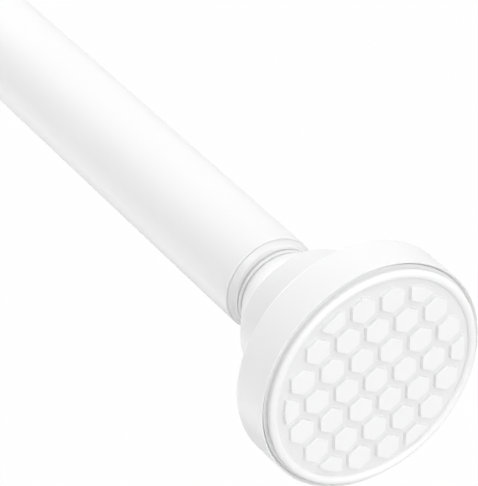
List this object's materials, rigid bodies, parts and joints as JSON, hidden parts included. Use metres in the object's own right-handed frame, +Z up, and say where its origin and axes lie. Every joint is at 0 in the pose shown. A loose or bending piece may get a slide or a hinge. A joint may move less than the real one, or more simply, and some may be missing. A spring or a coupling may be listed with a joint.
{
  "type": "spring tension rod",
  "caption": "Telescoping white rod that wedges between two walls on wide studded rubber pads, with a twist lock, a lead screw and a pressure spring inside.",
  "frame": {"origin": "centre of the large end's pad, on the wall plane that its studs and rim bead touch", "axes": "+X along the rod from the large end to the small end, +Z up, as the rod is held between two walls"},
  "size_m": [0.5818, 0.0596, 0.0596],
  "materials": {
    "tube_paint": "satin white powder coat on thin steel tube",
    "cap_plastic": "satin moulded white ABS",
    "neck_plastic": "polished moulded white plastic",
    "soft_pad": "matt white thermoplastic rubber",
    "guide_plastic": "natural acetal",
    "lock_rubber": "hard grey elastomer",
    "zinc_steel": "bright zinc plate",
    "spring_steel": "drawn spring wire",
    "brass": "turned brass"
  },
  "bodies": {
    "large_end": {"large_grip_pad": "soft_pad", "large_end_cap": "cap_plastic"},
    "large_tube": {"large_tube": "tube_paint", "tube_collar": "cap_plastic", "large_end_plug": "neck_plastic", "large_spacer_ring": "neck_plastic", "large_cap_screw": "zinc_steel", "large_screw_washer": "zinc_steel"},
    "tail_guide": {"tail_guide": "guide_plastic"},
    "lead_screw": {"lead_screw": "zinc_steel", "eccentric_hub": "guide_plastic", "hub_pin": "zinc_steel", "tail_clip": "zinc_steel", "tip_clip": "zinc_steel"},
    "lock_ring": {"lock_ring": "lock_rubber"},
    "tip_guide": {"tip_guide": "guide_plastic"},
    "nut_slider": {"nut_slider": "guide_plastic", "threaded_insert": "brass", "slider_washer": "zinc_steel"},
    "small_tube": {"small_tube": "tube_paint", "inner_end_bush": "guide_plastic", "pressure_spring": "spring_steel", "stop_washer": "zinc_steel", "spring_stop": "guide_plastic", "small_end_plug": "neck_plastic", "small_spacer_ring": "neck_plastic", "small_cap_screw": "zinc_steel", "small_screw_washer": "zinc_steel"},
    "small_end": {"small_end_cap": "cap_plastic", "small_grip_pad": "soft_pad"}
  },
  "joints": [
    {"name": "large_end_swivel", "type": "hinge", "parent": "large_end", "child": "large_tube", "pos_m": [0.04, 0, 0], "axis": [1, 0, 0], "continuous": true},
    {"name": "telescope", "type": "slide", "parent": "large_tube", "child": "tail_guide", "axis": [1, 0, 0], "range_m": [-0.08, 0.139]},
    {"name": "lock_turn", "type": "hinge", "parent": "tail_guide", "child": "lead_screw", "pos_m": [0.18, 0, 0], "axis": [1, 0, 0], "range_deg": [0, 32]},
    {"name": "lock_ring_pivot", "type": "hinge", "parent": "lead_screw", "child": "lock_ring", "pos_m": [0.194, 0, 0.0008], "axis": [1, 0, 0], "range_deg": [-32, 0]},
    {"name": "screw_turn", "type": "hinge", "parent": "lead_screw", "child": "tip_guide", "pos_m": [0.287, 0, 0], "axis": [1, 0, 0], "range_deg": [0, 1800]},
    {"name": "screw_advance", "type": "slide", "parent": "tip_guide", "child": "nut_slider", "axis": [1, 0, 0], "range_m": [0, 0.025]},
    {"name": "spring_stroke", "type": "slide", "parent": "nut_slider", "child": "small_tube", "axis": [1, 0, 0], "range_m": [-0.025, 0], "stiffness_N_per_m": 2900, "springref_m": 0.015, "deforming": ["pressure_spring"]},
    {"name": "small_end_swivel", "type": "hinge", "parent": "small_tube", "child": "small_end", "pos_m": [0.5418, 0, 0], "axis": [1, 0, 0], "continuous": true}
  ],
  "couplings": [
    {"joint": "lock_ring_pivot", "follows": "lock_turn", "ratio": -1},
    {"joint": "screw_turn", "follows": "screw_advance", "rad_per_m": 1256.6}
  ]
}
